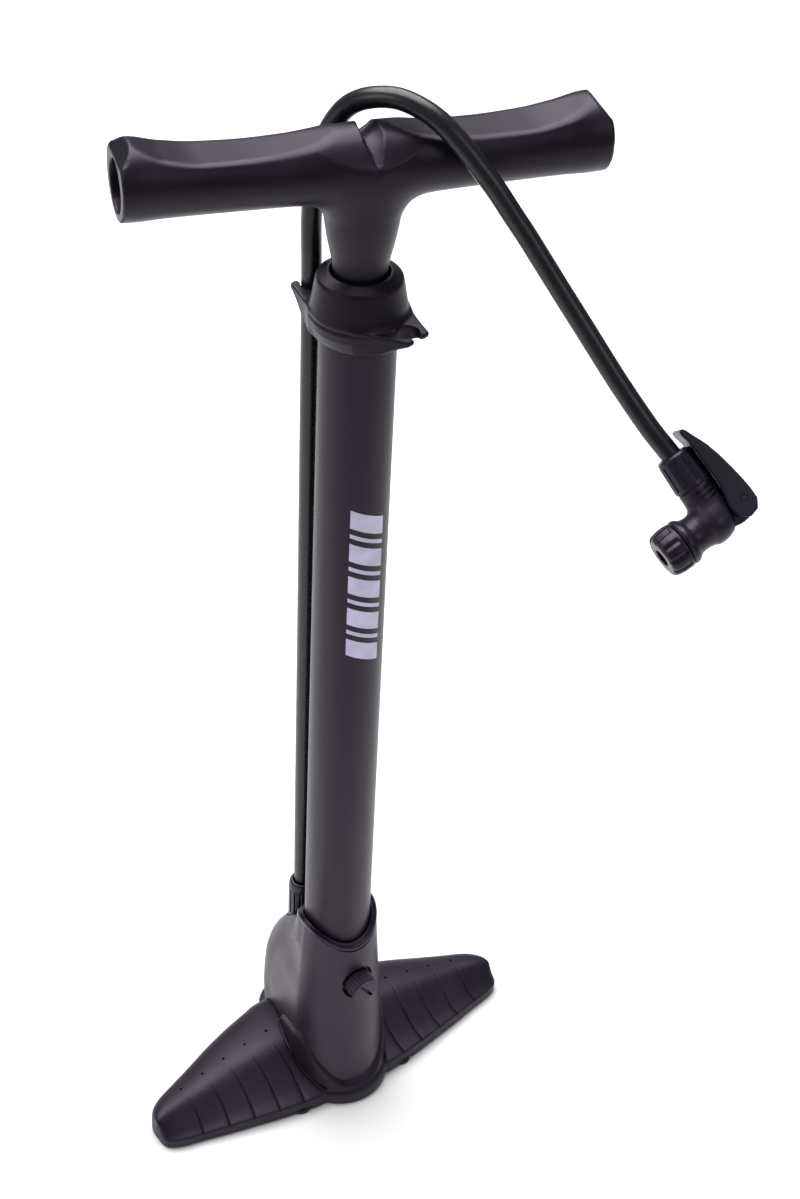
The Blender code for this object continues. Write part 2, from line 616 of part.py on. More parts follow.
def make_lever(mats, at, pin_at):
    """The thumb lever: two cheeks round the head's lug and a hollow arm along the collar."""
    side_view = (
        (-20.6, 3.0), (-20.3, 9.0), (-19.4, 16.0), (-17.9, 25.0), (-15.9, 32.5), (-12.9, 38.6), (-10.2, 43.4),
        (-8.2, 43.6), (-8.6, 37.0), (-9.0, 30.0), (-9.2, 22.0), (-9.3, 13.2), (-8.2, 7.2), (-6.8, 1.2),
        (-8.6, -4.4), (-13.0, -7.0), (-17.6, -5.6), (-20.2, -1.6),
    )
    lever = loft("thumb_lever", [
        [(x * MM, y * MM, z * MM) for x, z in side_view] for y in (-7.0, 7.0)
    ], mats["head"], place=at)
    slot_view = ((-24.0, -12.0), (-24.0, 2.2), (-18.2, 8.6), (-17.6, 16.0), (-16.0, 25.0), (-13.8, 33.0),
                 (-6.0, 36.0), (-2.0, 10.0), (-2.0, -12.0))
    slot = loft("cut_lever_slot", [
        [(x * MM, y * MM, z * MM) for x, z in slot_view] for y in (-4.6, 4.6)
    ], None, place=at, cutter=True)
    pin_hole = rod("cut_lever_hole", 1.9, -20.0, 20.0, None, steps=12, cutter=True, place=pin_at)
    cut(lever, slot, pin_hole)


# ---- build ------------------------------------------------------------------------------
def main():
    wipe_scene()
    mats = {
        "foot": material("foot_plastic", (0.035, 0.034, 0.042), 0.55),
        "tower": material("tower_plastic", (0.060, 0.056, 0.066), 0.45),
        "trim": material("trim_plastic", (0.030, 0.030, 0.042), 0.35),
        "barrel": material("barrel_paint", (0.050, 0.047, 0.055), 0.42, 0.1),
        "cap": material("cap_plastic", (0.032, 0.031, 0.040), 0.5),
        "handle": material("handle_plastic", (0.034, 0.033, 0.041), 0.5),
        "knob": material("knob_plastic", (0.028, 0.028, 0.034), 0.45),
        "head": material("head_plastic", (0.026, 0.026, 0.033), 0.45),
        "rubber": material("seal_rubber", (0.020, 0.020, 0.022), 0.8),
        "hose": material("hose_rubber", (0.018, 0.018, 0.024), 0.35),
        "steel": material("plated_steel", (0.560, 0.560, 0.580), 0.35, 1.0),
        "chrome": material("chrome_rod", (0.700, 0.700, 0.720), 0.15, 1.0),
        "brass": material("brass_insert", (0.600, 0.450, 0.200), 0.35, 1.0),
    }
    make_foot(mats)
    make_tower(mats)
    make_valve(mats)
    make_barrel(mats)
    make_cap(mats)
    make_piston(mats)
    make_plunger(mats)
    make_hose(mats)
    make_head(mats)
    bpy.context.view_layer.update()


main()
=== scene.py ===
"""The looks of the floor pump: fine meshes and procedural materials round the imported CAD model.

Everything is in the CAD model's frame: metres, +Z up along the barrel, the wings of the
foot along X and the front towards -Y.
"""
import json
import math

import bmesh
import bpy
import numpy as np
from mathutils import Matrix, Vector


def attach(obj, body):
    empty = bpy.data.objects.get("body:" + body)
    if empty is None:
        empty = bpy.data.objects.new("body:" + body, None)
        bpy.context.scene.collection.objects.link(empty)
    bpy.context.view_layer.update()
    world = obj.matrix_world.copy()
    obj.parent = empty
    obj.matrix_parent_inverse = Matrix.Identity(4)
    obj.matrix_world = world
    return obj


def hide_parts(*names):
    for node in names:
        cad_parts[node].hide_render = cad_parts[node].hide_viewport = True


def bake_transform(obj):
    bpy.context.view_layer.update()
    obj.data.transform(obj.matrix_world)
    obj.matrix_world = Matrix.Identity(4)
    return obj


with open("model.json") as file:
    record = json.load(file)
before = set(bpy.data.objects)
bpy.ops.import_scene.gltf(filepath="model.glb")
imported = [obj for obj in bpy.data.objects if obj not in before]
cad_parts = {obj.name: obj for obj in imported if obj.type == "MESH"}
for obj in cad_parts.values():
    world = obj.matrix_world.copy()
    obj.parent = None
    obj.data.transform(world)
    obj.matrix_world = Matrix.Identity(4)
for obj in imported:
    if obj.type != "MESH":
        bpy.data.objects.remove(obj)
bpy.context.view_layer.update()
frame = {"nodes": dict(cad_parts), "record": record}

MM = 0.001

# ---- sizes that the pieces share, in millimetres ---------------------------
BARREL_R = 19.0
SADDLE_LOW = 119.0              # the tower's mouth at front and back
SADDLE_RISE = 13.0              # how much higher it is at the sides
TOWER_MOUTH_R = 23.0
PLUG_Z = 93.5
GLAND_Y = 38.0
CAP_TURN = math.radians(14.5)
HANDLE_TURN = math.radians(-17.0)
HANDLE_Z = 616.8
HOSE_R = 5.0
CREST_Y = 9.0                   # where the tread stops rising
# wing stations: distance from the axis, front y, back y, front height, crest height
WING = (
    (9.0, -28.3, 50.4, 10.3, 28.3), (27.0, -27.5, 49.5, 10.0, 28.0), (36.0, -26.4, 47.0, 9.6, 27.5),
    (52.0, -23.6, 42.5, 9.2, 26.0), (68.0, -20.2, 37.0, 8.6, 24.0), (83.0, -17.0, 31.0, 8.1, 21.8),
    (99.0, -13.2, 24.8, 7.4, 19.6), (110.0, -10.8, 20.4, 7.2, 18.4), (115.5, -8.8, 17.0, 7.1, 17.5),
    (119.0, -6.2, 13.2, 6.9, 16.6), (120.4, -3.4, 10.0, 6.8, 15.6), (120.8, -1.2, 7.4, 6.6, 14.6),
)
# tower levels: height, half width, front y, back y, radius of the narrower back
TOWER = (
    (6.3, 29.0, -30.5, 62.0, 17.8), (30.0, 28.3, -29.4, 64.5, 17.8), (57.0, 27.2, -27.8, 62.0, 18.0),
    (75.0, 26.2, -26.5, 56.5, 18.0), (90.0, 25.2, -25.4, 47.5, 18.0), (102.0, 24.6, -24.6, 36.0, 19.5),
    (112.0, 24.0, -24.0, 26.5, 23.0), (137.0, 22.4, -22.4, 22.4, 22.4),
)
# grip stations: distance from the hub's centre, section radius, flat's height in it, rise of its centre
GRIP = (
    (0.0, 17.9, 19.0, -0.3), (12.0, 17.9, 18.4, -0.5), (18.0, 17.8, 16.6, -0.6), (25.0, 17.4, 14.8, -0.8),
    (36.0, 16.8, 13.1, -0.7), (55.0, 16.6, 11.8, -0.4), (76.0, 17.0, 11.5, 0.5), (93.0, 17.7, 13.6, 1.5),
    (107.5, 18.8, 18.5, 2.5), (120.0, 18.6, 22.0, 2.8),
)
# stem: height, radius
STEM = (
    (556.0, 11.6), (557.5, 12.7), (565.0, 13.6), (580.0, 16.6), (590.0, 18.0), (597.0, 18.6), (617.0, 17.6),
)
# the hose's route, from inside the gland to inside the head's collar, as in the CAD model
HOSE_ROUTE = (
    (0.0, 38.0, 97.3), (0.0, 38.0, 128.0), (-0.6, 37.6, 170.0), (-1.9, 36.2, 240.0),
    (-3.3, 34.6, 320.0), (-4.8, 33.0, 400.0), (-6.3, 31.3, 470.0), (-7.5, 30.0, 528.0),
    (-7.9, 29.8, 550.0), (-7.4, 31.4, 575.0), (-5.6, 32.0, 597.0), (-2.8, 30.0, 612.5),
    (0.1, 25.6, 624.4), (2.8, 20.0, 633.2), (5.6, 13.4, 639.0), (8.9, 6.9, 642.4), (12.4, 1.0, 644.2),
    (15.8, -4.3, 644.6), (19.5, -10.2, 643.4), (23.3, -16.6, 641.0), (27.4, -23.4, 636.6),
    (32.1, -30.6, 629.4), (37.0, -37.9, 620.6), (41.9, -45.0, 611.3), (46.7, -51.4, 601.1),
    (51.5, -58.3, 590.8), (60.2, -72.0, 570.3), (68.3, -87.0, 550.3), (76.0, -102.8, 530.5),
    (83.6, -119.5, 512.2), (88.4, -131.3, 502.1), (92.6, -142.8, 491.4),
)
HEAD_AT = Vector((97.8, -156.9, 478.1))          # where the hose's and the chuck's axes cross
HEAD_UP = Vector((-0.259, 0.7055, 0.6598))       # along the collar, towards the hose
HEAD_OUT = Vector((-0.9012, 0.0695, -0.4278))    # along the chuck, out of its mouth


# ---- camera ----------------------------------------------------------------
def make_camera():
    """A long lens from the front left, looking down on the pump."""
    right = Vector((0.8288, -0.5580, 0.0420))
    up = Vector((0.3207, 0.5353, 0.7815))
    back = right.cross(up)
    data = bpy.data.cameras.new("camera")
    data.lens = 69.36
    data.sensor_width = 36.0
    camera = bpy.data.objects.new("camera", data)
    turn = Matrix((right, up, back)).transposed().to_4x4()
    camera.matrix_world = Matrix.Translation((-0.5282, -0.7763, 1.1113)) @ turn
    bpy.context.scene.collection.objects.link(camera)
    bpy.context.scene.camera = camera


# ---- mesh helpers ----------------------------------------------------------
def row_at(table, x):
    """The other columns of a table at x, by a smooth curve that doesn't overshoot."""
    table = np.asarray(table, float)
    knots = table[:, 0]
    values = table[:, 1:]
    slopes = np.diff(values, axis=0) / np.diff(knots)[:, None]
    inner = np.where(slopes[1:] * slopes[:-1] > 0,
                     2 * slopes[1:] * slopes[:-1] / (slopes[1:] + slopes[:-1] + 1e-12), 0)
    tangents = np.vstack([slopes[:1], inner, slopes[-1:]])
    x = np.clip(np.asarray(x, float), knots[0], knots[-1])
    k = np.clip(np.searchsorted(knots, x, side="right") - 1, 0, len(knots) - 2)
    width = knots[k + 1] - knots[k]
    t = ((x - knots[k]) / width)[..., None]
    width = np.asarray(width)[..., None]
    return ((2 * t**3 - 3 * t**2 + 1) * values[k] + (t**3 - 2 * t**2 + t) * width * tangents[k]
            + (3 * t**2 - 2 * t**3) * values[k + 1] + (t**3 - t**2) * width * tangents[k + 1])


def link_mesh(name, points, faces):
    """A mesh object from points in millimetres."""
    mesh = bpy.data.meshes.new(name)
    mesh.from_pydata([tuple(float(c) * MM for c in p) for p in points], [], faces)
    mesh.validate()
    bm = bmesh.new()
    bm.from_mesh(mesh)
    bmesh.ops.remove_doubles(bm, verts=bm.verts, dist=1e-7)
    bmesh.ops.recalc_face_normals(bm, faces=bm.faces)
    bm.to_mesh(mesh)
    bm.free()
    thing = bpy.data.objects.new(name, mesh)
    bpy.context.scene.collection.objects.link(thing)
    return thing


def skin_rings(name, rings, closed_loop=False, place=None):
    """Skin rings of equal length. closed_loop joins the last to the first, else both ends are capped."""
    count = len(rings[0])
    points = [tuple(p) for ring in rings for p in ring]
    faces = []
    last = len(rings) if closed_loop else len(rings) - 1
    for i in range(last):
        a = i * count
        b = ((i + 1) % len(rings)) * count
        for k in range(count):
            n = (k + 1) % count
            faces.append((a + k, a + n, b + n, b + k))
    if not closed_loop:
        faces.append(tuple(range(count)))
        faces.append(tuple(range((len(rings) - 1) * count, len(rings) * count)))
    thing = link_mesh(name, points, faces)
    if place is not None:
        thing.data.transform(place)
    return thing


def rounded(profile, radius, steps=4):
    """A closed outline with its corners rounded, each by at most the radius or by its sides' length."""
    result = []
    count = len(profile)
    for i, corner in enumerate(profile):
        corner = np.asarray(corner, float)
        before = np.asarray(profile[i - 1], float) - corner
        after = np.asarray(profile[(i + 1) % count], float) - corner
        reach = min(radius, 0.45 * np.linalg.norm(before), 0.45 * np.linalg.norm(after))
        start = corner + before / np.linalg.norm(before) * reach
        end = corner + after / np.linalg.norm(after) * reach
        for k in range(steps + 1):
            t = k / steps
            result.append((1 - t) ** 2 * start + 2 * t * (1 - t) * corner + t * t * end)
    return result


def revolve(name, profile, steps=72, place=None, ripple=None, soft=0.5):
    """Turn a closed outline of (radius, height) about Z. ripple(angle, radius, height) adds to the radius."""
    rings = []
    for radius, height in rounded(profile, soft):
        ring = []
        for i in range(steps):
            angle = 2 * math.pi * i / steps
            r = max(radius + (ripple(angle, radius, height) if ripple else 0.0), 0.02)
            ring.append((r * math.cos(angle), r * math.sin(angle), height))
        rings.append(ring)
    return skin_rings(name, rings, closed_loop=True, place=place)


def block(name, rings, place=None):
    """A closed body skinned over rings, with both ends capped."""
    return skin_rings(name, rings, place=place)


def rod(name, radius, low, high, steps=48, place=None):
    """A plain cylinder, for cutting with."""
    angles = [2 * math.pi * i / steps for i in range(steps)]
    rings = [[(radius * math.cos(a), radius * math.sin(a), height) for a in angles] for height in (low, high)]
    return skin_rings(name, rings, place=place)


def combine(target, tools, operation):
    """Boolean the tools into the target for good, and remove them."""
    for tool in tools:
        modifier = target.modifiers.new("combine", "BOOLEAN")
        modifier.operation = operation
        modifier.object = tool
        modifier.solver = "EXACT"
    settle(target)
    for tool in tools:
        bpy.data.objects.remove(tool, do_unlink=True)


def settle(thing):
    """Replace a piece's mesh with its evaluated one."""
    bpy.context.view_layer.update()
    evaluated = thing.evaluated_get(bpy.context.evaluated_depsgraph_get())
    mesh = bpy.data.meshes.new_from_object(evaluated)
    thing.modifiers.clear()
    thing.data = mesh


def remesh(thing, voxel):
    """Replace a piece's mesh with even voxels of a size in millimetres."""
    modifier = thing.modifiers.new("remesh", "REMESH")
    modifier.mode = "VOXEL"
    modifier.voxel_size = voxel * MM
    settle(thing)


def smooth(thing, factor, times):
    """Relax a piece's mesh."""
    modifier = thing.modifiers.new("smooth", "SMOOTH")
    modifier.factor = factor
    modifier.iterations = times
    settle(thing)


def along(direction, at=(0, 0, 0)):
    """A placement that turns +Z to the direction and moves the origin to a point in millimetres."""
    turn = Vector((0, 0, 1)).rotation_difference(Vector(direction)).to_matrix().to_4x4()
    return Matrix.Translation(Vector(at) * MM) @ turn


def head_frame():
    """Local X out of the chuck, local Z up the collar, origin where the axes cross."""
    up = HEAD_UP.normalized()
    out = (HEAD_OUT - HEAD_OUT.dot(up) * up).normalized()
    turn = Matrix((out, up.cross(out), up)).transposed().to_4x4()
    return Matrix.Translation(HEAD_AT * MM) @ turn


def dress(thing, mat, body, nodes=(), sharp=35.0):
    """Give a finished piece its material, its body and the CAD nodes that it stands for."""
    thing.data.materials.clear()
    thing.data.materials.append(mat)
    thing.data.shade_smooth()
    thing.data.set_sharp_from_angle(angle=math.radians(sharp))
    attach(thing, body)
    if nodes:
        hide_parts(*nodes)


# ---- signed distance fields, in millimetres --------------------------------
def meet(a, b, k):
    """The smooth union of two fields, with a fillet of about k."""
    h = np.clip(0.5 + 0.5 * (b - a) / k, 0, 1)
    return b * (1 - h) + a * h - k * h * (1 - h)


def both(a, b, k):
    """The smooth intersection of two fields."""
    return -meet(-a, -b, k)


def outline_field(profile, r, z):
    """The signed distance to a closed outline of (radius, height) points."""
    nearest = np.full(r.shape, 1e9)
    inside = np.zeros(r.shape, bool)
    for (r0, z0), (r1, z1) in zip(profile, list(profile[1:]) + [profile[0]]):
        dr = r1 - r0
        dz = z1 - z0
        t = np.clip(((r - r0) * dr + (z - z0) * dz) / (dr * dr + dz * dz), 0, 1)
        nearest = np.minimum(nearest, np.hypot(r - r0 - t * dr, z - z0 - t * dz))
        crosses = (z0 > z) != (z1 > z)
        with np.errstate(divide="ignore", invalid="ignore"):
            inside ^= crosses & (r < r0 + (z - z0) * dr / dz)
    return np.where(inside, -nearest, nearest)


def fit_to_field(name, node, field, voxel, place=None, times=14):
    """A fine piece: a CAD node's shape, remeshed and moved onto a field's surface."""
    thing = bpy.data.objects.new(name, frame["nodes"][node].data.copy())
    bpy.context.scene.collection.objects.link(thing)
    remesh(thing, voxel)
    place = place or Matrix.Identity(4)
    thing.data.transform(place.inverted())
    mesh = thing.data
    co = np.empty(len(mesh.vertices) * 3)
    mesh.vertices.foreach_get("co", co)
    points = co.reshape(-1, 3) / MM
    step = 0.02
    for _ in range(times):
        value = field(points)
        slope = np.stack([(field(points + step * axis) - field(points - step * axis)) / (2 * step)
                          for axis in np.eye(3)], axis=1)
        push = value / np.maximum((slope**2).sum(axis=1), 0.25)
        push = np.clip(push, -voxel, voxel)
        points = points - 0.8 * push[:, None] * slope
    mesh.vertices.foreach_set("co", (points * MM).ravel())
    mesh.update()
    mesh.transform(place)
    smooth(thing, 0.5, 1)
    return thing


# ---- materials -------------------------------------------------------------
SHEEN = (0.93, 0.76, 1.0, 1.0)          # the black plastics' faint violet reflections


def new_material(name):
    """A Principled material, with its nodes, links, shader and texture coordinates."""
    mat = bpy.data.materials.new(name)
    mat.use_nodes = True
    nodes = mat.node_tree.nodes
    shader = nodes["Principled BSDF"]
    coords = nodes.new("ShaderNodeTexCoord")
    return mat, nodes, mat.node_tree.links, shader, coords


def noise(nodes, links, coords, scale, detail=2.0):
    """A noise texture; scale is in bumps per metre."""
    texture = nodes.new("ShaderNodeTexNoise")
    texture.inputs["Scale"].default_value = scale
    texture.inputs["Detail"].default_value = detail
    links.new(coords.outputs["Object"], texture.inputs["Vector"])
    return texture


def ramp(nodes, links, source, low, high, out_low, out_high):
    """Map a value's range onto another."""
    scale = nodes.new("ShaderNodeMapRange")
    scale.inputs["From Min"].default_value = low
    scale.inputs["From Max"].default_value = high
    scale.inputs["To Min"].default_value = out_low
    scale.inputs["To Max"].default_value = out_high
    links.new(source, scale.inputs["Value"])
    return scale.outputs["Result"]


def mixed(nodes, links, factor, first, second):
    """Mix two colours, each a plain colour or a socket."""
    mix = nodes.new("ShaderNodeMix")
    mix.data_type = "RGBA"
    links.new(factor, mix.inputs["Factor"])
    for socket, value in ((mix.inputs["A"], first), (mix.inputs["B"], second)):
        if isinstance(value, tuple):
            socket.default_value = (*value, 1.0)
        else:
            links.new(value, socket)
    return mix.outputs["Result"]


def bumped(nodes, links, height, strength, distance):
    """The normal of a bump of up to a distance in metres."""
    bump = nodes.new("ShaderNodeBump")
    bump.inputs["Strength"].default_value = strength
    bump.inputs["Distance"].default_value = distance
    links.new(height, bump.inputs["Height"])
    return bump.outputs["Normal"]


def moulded(name, colour, roughness, grain=1.0, specular=0.5, wear=0.35):
    """Moulded plastic: fine grain, faint cloudiness, rubbed edges and a little dust."""
    mat, nodes, links, shader, coords = new_material(name)
    fine = noise(nodes, links, coords, 1800.0, 3.0)
    cloud = noise(nodes, links, coords, 38.0, 4.0)
    lighter = tuple(min(1.0, c * 1.35 + 0.004) for c in colour)
    patches = ramp(nodes, links, cloud.outputs["Fac"], 0.35, 0.7, 0.0, 0.55)
    cloudy = mixed(nodes, links, patches, colour, lighter)
    edge = nodes.new("ShaderNodeNewGeometry")
    rubbed = ramp(nodes, links, edge.outputs["Pointiness"], 0.53, 0.60, 0.0, wear)
    worn = tuple(min(1.0, c * 2.2 + 0.015) for c in colour)
    links.new(mixed(nodes, links, rubbed, cloudy, worn), shader.inputs["Base Color"])
    links.new(ramp(nodes, links, cloud.outputs["Fac"], 0.3, 0.7, roughness - 0.05, roughness + 0.06),
              shader.inputs["Roughness"])
    links.new(bumped(nodes, links, fine.outputs["Fac"], 0.25 * grain, 0.00012), shader.inputs["Normal"])
    shader.inputs["Specular IOR Level"].default_value = specular
    shader.inputs["Specular Tint"].default_value = SHEEN
    return mat


def painted(name, colour, roughness):
    """Powder-coated tube: orange peel and faint specks."""
    mat, nodes, links, shader, coords = new_material(name)
    peel = noise(nodes, links, coords, 900.0, 2.0)
    specks = nodes.new("ShaderNodeTexVoronoi")
    specks.inputs["Scale"].default_value = 700.0
    links.new(coords.outputs["Object"], specks.inputs["Vector"])
    cloud = noise(nodes, links, coords, 30.0, 3.0)
    lighter = tuple(c * 1.2 + 0.003 for c in colour)
    speck = ramp(nodes, links, specks.outputs["Distance"], 0.0, 0.16, 0.5, 0.0)
    patches = ramp(nodes, links, cloud.outputs["Fac"], 0.35, 0.7, 0.0, 0.6)
    base = mixed(nodes, links, patches, colour, lighter)
    flecks = tuple(c * 1.9 + 0.01 for c in colour)
    links.new(mixed(nodes, links, speck, base, flecks), shader.inputs["Base Color"])
    links.new(ramp(nodes, links, peel.outputs["Fac"], 0.3, 0.7, roughness - 0.04, roughness + 0.05),
              shader.inputs["Roughness"])
    links.new(bumped(nodes, links, peel.outputs["Fac"], 0.3, 0.0001), shader.inputs["Normal"])
    shader.inputs["Specular IOR Level"].default_value = 0.34
    shader.inputs["Specular Tint"].default_value = SHEEN
    return mat


def rubbery(name, colour, roughness, scale=500.0):
    """Rubber: soft mottling and a fine, uneven skin."""
    mat, nodes, links, shader, coords = new_material(name)
    skin = noise(nodes, links, coords, scale, 4.0)
    cloud = noise(nodes, links, coords, 60.0, 3.0)
    dusty = tuple(c * 1.7 + 0.006 for c in colour)
    patches = ramp(nodes, links, cloud.outputs["Fac"], 0.4, 0.75, 0.0, 0.5)
    links.new(mixed(nodes, links, patches, colour, dusty), shader.inputs["Base Color"])
    links.new(ramp(nodes, links, skin.outputs["Fac"], 0.3, 0.7, roughness - 0.06, roughness + 0.08),
              shader.inputs["Roughness"])
    links.new(bumped(nodes, links, skin.outputs["Fac"], 0.2, 0.00008), shader.inputs["Normal"])
    return mat


def metal(name, colour, roughness, scale=400.0):
    """Turned or plated metal: fine scratches, a little tarnish."""
    mat, nodes, links, shader, coords = new_material(name)
    shader.inputs["Metallic"].default_value = 1.0
    stretch = nodes.new("ShaderNodeMapping")
    stretch.inputs["Scale"].default_value = (1.0, 1.0, 9.0)
    links.new(coords.outputs["Object"], stretch.inputs["Vector"])
    scratches = nodes.new("ShaderNodeTexNoise")
    scratches.inputs["Scale"].default_value = scale
    scratches.inputs["Detail"].default_value = 3.0
    links.new(stretch.outputs["Vector"], scratches.inputs["Vector"])
    cloud = noise(nodes, links, coords, 90.0, 3.0)
    dull = tuple(c * 0.78 for c in colour)
    patches = ramp(nodes, links, cloud.outputs["Fac"], 0.45, 0.75, 0.0, 0.7)
    links.new(mixed(nodes, links, patches, colour, dull), shader.inputs["Base Color"])
    links.new(ramp(nodes, links, scratches.outputs["Fac"], 0.3, 0.7, roughness * 0.8, roughness * 1.3),
              shader.inputs["Roughness"])
    links.new(bumped(nodes, links, scratches.outputs["Fac"], 0.12, 0.00005), shader.inputs["Normal"])
    return mat


def make_materials():
    """The materials by name; the CAD nodes that stay look theirs up by their slot."""
    return {
        "foot_plastic": moulded("foot_plastic", (0.0050, 0.0040, 0.0075), 0.46, grain=1.2, specular=0.36),
        # painted light: the tower's colour is the foot's plastic made more than twice as light, to stand in
        # for the light on the tower's flanks; only its smoother satin finish is its own
        "tower_plastic": moulded("tower_plastic", (0.0130, 0.0100, 0.0155), 0.40, grain=0.8, specular=0.45),
        "trim_plastic": moulded("trim_plastic", (0.0050, 0.0048, 0.0110), 0.28, grain=0.4),
        "barrel_paint": painted("barrel_paint", (0.0075, 0.0052, 0.0095), 0.38),
        "cap_plastic": moulded("cap_plastic", (0.0040, 0.0034, 0.0060), 0.40, specular=0.26, wear=0.5),
        "handle_plastic": moulded("handle_plastic", (0.0045, 0.0038, 0.0065), 0.38, specular=0.3, wear=0.5),
        "knob_plastic": moulded("knob_plastic", (0.0090, 0.0075, 0.0125), 0.44),
        "head_plastic": moulded("head_plastic", (0.0060, 0.0052, 0.0095), 0.34, specular=0.4, wear=0.5),
        "hose_rubber": rubbery("hose_rubber", (0.0035, 0.0033, 0.0060), 0.30),
        "seal_rubber": rubbery("seal_rubber", (0.0120, 0.0120, 0.0130), 0.75),
        "plated_steel": metal("plated_steel", (0.56, 0.56, 0.58), 0.32),
        "blackened_steel": metal("blackened_steel", (0.045, 0.045, 0.055), 0.42),
        "chrome_rod": metal("chrome_rod", (0.72, 0.72, 0.74), 0.10, 900.0),
        "brass_part": metal("brass_part", (0.60, 0.45, 0.20), 0.32),
        "marking_ink": rubbery("marking_ink", (0.60, 0.57, 0.76), 0.45, 1500.0),
    }


# ---- hose ------------------------------------------------------------------
def smooth_route(points, step):
    """Points a fixed step apart, in millimetres, on a Catmull-Rom curve through the route."""
    knots = [Vector(p) for p in points]
    knots = [2 * knots[0] - knots[1]] + knots + [2 * knots[-1] - knots[-2]]
    fine = []
    for a, b, c, d in zip(knots, knots[1:], knots[2:], knots[3:]):
        for k in range(24):
            t = k / 24
            fine.append(0.5 * (2 * b + (c - a) * t + (2 * a - 5 * b + 4 * c - d) * t * t
                               + (3 * b - a - 3 * c + d) * t**3))
    fine.append(knots[-2])
    even = [fine[0]]
    walked = 0.0
    for p, q in zip(fine, fine[1:]):
        walked += (q - p).length
        if walked >= step:
            even.append(q)
            walked = 0.0
    return even


def tube_along(name, route, radius, sides):
    """A round tube along points in millimetres."""
    rings = []
    across = Vector((1, 0, 0))
    for i, point in enumerate(route):
        ahead = (route[min(i + 1, len(route) - 1)] - route[max(i - 1, 0)]).normalized()
        across = (across - across.dot(ahead) * ahead).normalized()
        other = ahead.cross(across)
        rings.append([tuple(point + radius * (math.cos(a) * across + math.sin(a) * other))
                      for a in (2 * math.pi * k / sides for k in range(sides))])
    return skin_rings(name, rings)


def make_hose(mats):
    """One rubber tube from the gland to the head, with a long vertical run; returns it with its route and
    length.
    """
    route = smooth_route(HOSE_ROUTE, 3.0)
    hose = tube_along("hose", route, HOSE_R, 28)
    hose.data.materials.append(mats["hose_rubber"])
    hose.data.shade_smooth()
    hose.data.set_sharp_from_angle(angle=math.radians(50))
    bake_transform(hose)
    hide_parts("hose_lower", "hose_upper")
    length = sum((b - a).length for a, b in zip(route, route[1:])) * MM
    return hose, [list(p * MM) for p in route], length


# ---- foot ------------------------------------------------------------------
GROOVES = (36.0, 51.5, 67.0, 82.6, 98.6)       # the grooves' distances from the axis
GROOVE_DEPTH = 1.25


def tread_drop(reach, v):
    """How far the grooves lie under the tread: thin at the crest, deeper and wider towards the front."""
    bow = 6.4 * v * (1 - v)
    depth = GROOVE_DEPTH * np.clip(1.06 - v, 0, 1) ** 0.5
    half = 0.45 + 0.5 * (1 - v)
    drop = np.zeros_like(v)
    for start in GROOVES:
        across = np.abs(reach - start + bow)
        drop = np.maximum(drop, depth * np.clip(1 - across / half, 0, 1))
        drop = np.maximum(drop, 0.25 * (1 - v) * np.clip(1 - across / 3.2, 0, 1))
    return drop


# the wing's profile: share of the way back and share of the height, up the tread and down the back
TREAD_RISE = ((0.0, 0.0), (0.2, 0.135), (0.4, 0.32), (0.6, 0.54), (0.78, 0.76), (0.9, 0.89), (1.0, 0.965))
BACK_FALL = (
    (0.0, 0.018), (0.1, 0.004), (0.22, 0.0), (0.36, 0.014), (0.62, 0.075), (0.86, 0.19), (0.96, 0.31),
    (1.0, 0.46),
)


def soften(y, z, crest):
    """Round the wing's crest: near it, each height becomes a mean over 10 mm of the profile."""
    fine_y = np.linspace(y[0], y[-1], 160)
    fine_z = np.interp(fine_y, y, z)
    half = max(1, int(5.0 / (fine_y[1] - fine_y[0])))
    window = np.hanning(2 * half + 3)[1:-1]
    padded = np.pad(fine_z, half, mode="edge")
    mean = np.interp(y, fine_y, np.convolve(padded, window / window.sum(), mode="valid"))
    weight = np.exp(-(((y - crest) / 8.0) ** 2))
    weight = weight * np.clip((y - y[0]) / 12.0, 0, 1) * np.clip((y[-1] - y) / 8.0, 0, 1)
    return list(zip(y, z + (mean - z) * weight))


WING_TIP_START = 112.0                         # the stations close up from here to the tip
WING_TIP_LENGTH = 8.8


def make_wing(side):
    """One wing, grooves included; side is 1 for +X and -1 for -X."""
    tip = WING_TIP_START + WING_TIP_LENGTH * np.sin(np.linspace(0, math.pi / 2, 34))
    stations = np.concatenate([np.arange(9.0, WING_TIP_START, 0.32), tip])
    v = np.linspace(0, 1, 56)
    w = np.linspace(0, 1, 26)[1:]
    rise = row_at(TREAD_RISE, v)[:, 0]
    fall = row_at(BACK_FALL, w)[:, 0]
    rings = []
    for reach in stations:
        front, back, low, high = row_at(WING, reach)
        crest = min(CREST_Y, 0.5 * (front + back))
        drop = tread_drop(reach, v)
        tread_y = front + 0.7 + (crest - front - 0.7) * v
        tread_z = low + (high - low) * rise - drop
        lip = tread_z[0]
        ring = [(front + 0.25, 1.0), (front, 1.6), (front + 0.05, lip - 1.2), (front + 0.25, lip - 0.35)]
        back_y = crest + (back - crest) * w
        back_z = high - (high - 1.0) * fall
        ring += soften(np.append(tread_y, back_y), np.append(tread_z, back_z), crest)
        ring += [(back + 0.05, 1.6), (back - 0.25, 1.0)]
        rings.append([(side * reach, y, z) for y, z in ring])
    return block("wing", rings)


SIDE_STEPS = 13


